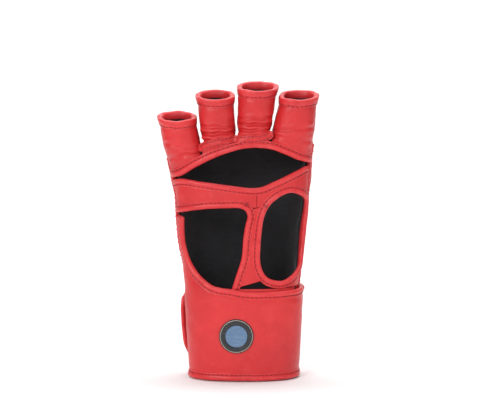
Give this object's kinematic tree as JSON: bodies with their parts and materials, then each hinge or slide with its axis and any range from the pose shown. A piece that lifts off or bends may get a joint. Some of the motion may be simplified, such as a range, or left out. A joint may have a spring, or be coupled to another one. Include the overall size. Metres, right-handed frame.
{
  "type": "mma glove",
  "caption": "Open-finger grappling glove with padded knuckle bar and finger loops, open palm with cross strap, thumb hole and a hook-and-loop wrist strap.",
  "frame": {"origin": "centre of the glove's outline seen from above, on the plane that the cuff rim stands on", "axes": "+Z from the cuff rim to the finger loops, +Y towards the back of the hand, palm facing -Y, +X towards the thumb side of this right-hand glove"},
  "size_m": [0.1136, 0.0584, 0.209],
  "materials": {
    "red_leather": "satin",
    "binding_leather": "satin",
    "lining": "matte",
    "foam": "matte",
    "tape": "matte",
    "badge_black": "gloss",
    "badge_face": "gloss"
  },
  "bodies": {
    "hand": {"back_panel": "red_leather", "back_lining": "lining", "back_pad_cover": "red_leather", "back_pad_foam": "foam", "knuckle_bar_cover": "red_leather", "knuckle_bar_foam": "foam", "palm_band": "red_leather", "palm_band_lining": "lining", "palm_band_patch": "red_leather", "palm_band_binding": "binding_leather", "cross_strap": "red_leather", "cross_strap_binding": "binding_leather", "palm_opening_binding": "binding_leather", "centre_bar": "red_leather", "thumb_binding": "binding_leather", "thumb_web": "red_leather", "thumb_base": "red_leather", "side_strip": "red_leather", "side_strip_binding": "binding_leather", "wrist_band": "red_leather", "wrist_lining": "lining", "cuff_rim_binding": "binding_leather", "loop_tape": "tape", "pinky_crease": "red_leather", "ring_crease": "red_leather", "middle_crease": "red_leather", "index_crease": "red_leather"},
    "pinky_finger": {"pinky_loop": "red_leather", "pinky_lining": "lining", "pinky_hem": "binding_leather", "pinky_pad_cover": "red_leather", "pinky_pad_foam": "foam"},
    "ring_finger": {"ring_loop": "red_leather", "ring_lining": "lining", "ring_hem": "binding_leather", "ring_pad_cover": "red_leather", "ring_pad_foam": "foam"},
    "middle_finger": {"middle_loop": "red_leather", "middle_lining": "lining", "middle_hem": "binding_leather", "middle_pad_cover": "red_leather", "middle_pad_foam": "foam"},
    "index_finger": {"index_loop": "red_leather", "index_lining": "lining", "index_hem": "binding_leather", "index_pad_cover": "red_leather", "index_pad_foam": "foam"},
    "strap_front": {"strap_front": "red_leather", "strap_front_top_binding": "binding_leather", "strap_front_bottom_binding": "binding_leather", "badge_base": "badge_black", "badge_inlay": "badge_face"},
    "strap_tail": {"strap_tail": "red_leather", "strap_tail_binding": "binding_leather", "hook_tape": "tape"}
  },
  "joints": [
    {"name": "pinky_flex", "type": "hinge", "parent": "hand", "child": "pinky_finger", "pos_m": [0, -0.00997, 0.154], "axis": [1, 0, 0], "range_deg": [0, 70], "stiffness_Nm_per_rad": 0.1, "deforming": ["pinky_crease"]},
    {"name": "ring_flex", "type": "hinge", "parent": "hand", "child": "ring_finger", "pos_m": [0, -0.00997, 0.163], "axis": [1, 0, 0], "range_deg": [0, 70], "stiffness_Nm_per_rad": 0.1, "deforming": ["ring_crease"]},
    {"name": "middle_flex", "type": "hinge", "parent": "hand", "child": "middle_finger", "pos_m": [0, -0.00997, 0.168], "axis": [1, 0, 0], "range_deg": [0, 70], "stiffness_Nm_per_rad": 0.1, "deforming": ["middle_crease"]},
    {"name": "index_flex", "type": "hinge", "parent": "hand", "child": "index_finger", "pos_m": [0, -0.00997, 0.163], "axis": [1, 0, 0], "range_deg": [0, 70], "stiffness_Nm_per_rad": 0.1, "deforming": ["index_crease"]},
    {"name": "strap_swing", "type": "hinge", "parent": "hand", "child": "strap_front", "pos_m": [-0.0368, -0.0092, 0.032], "axis": [0, 0, -1], "range_deg": [0, 30]},
    {"name": "strap_peel", "type": "hinge", "parent": "strap_front", "child": "strap_tail", "pos_m": [0.04555, -0.00197, 0.032], "axis": [-0.0499, 0, -0.9988], "range_deg": [0, 150]}
  ],
  "couplings": [
    {"joint": "strap_swing", "follows": "strap_peel", "ratio": 0.2}
  ]
}
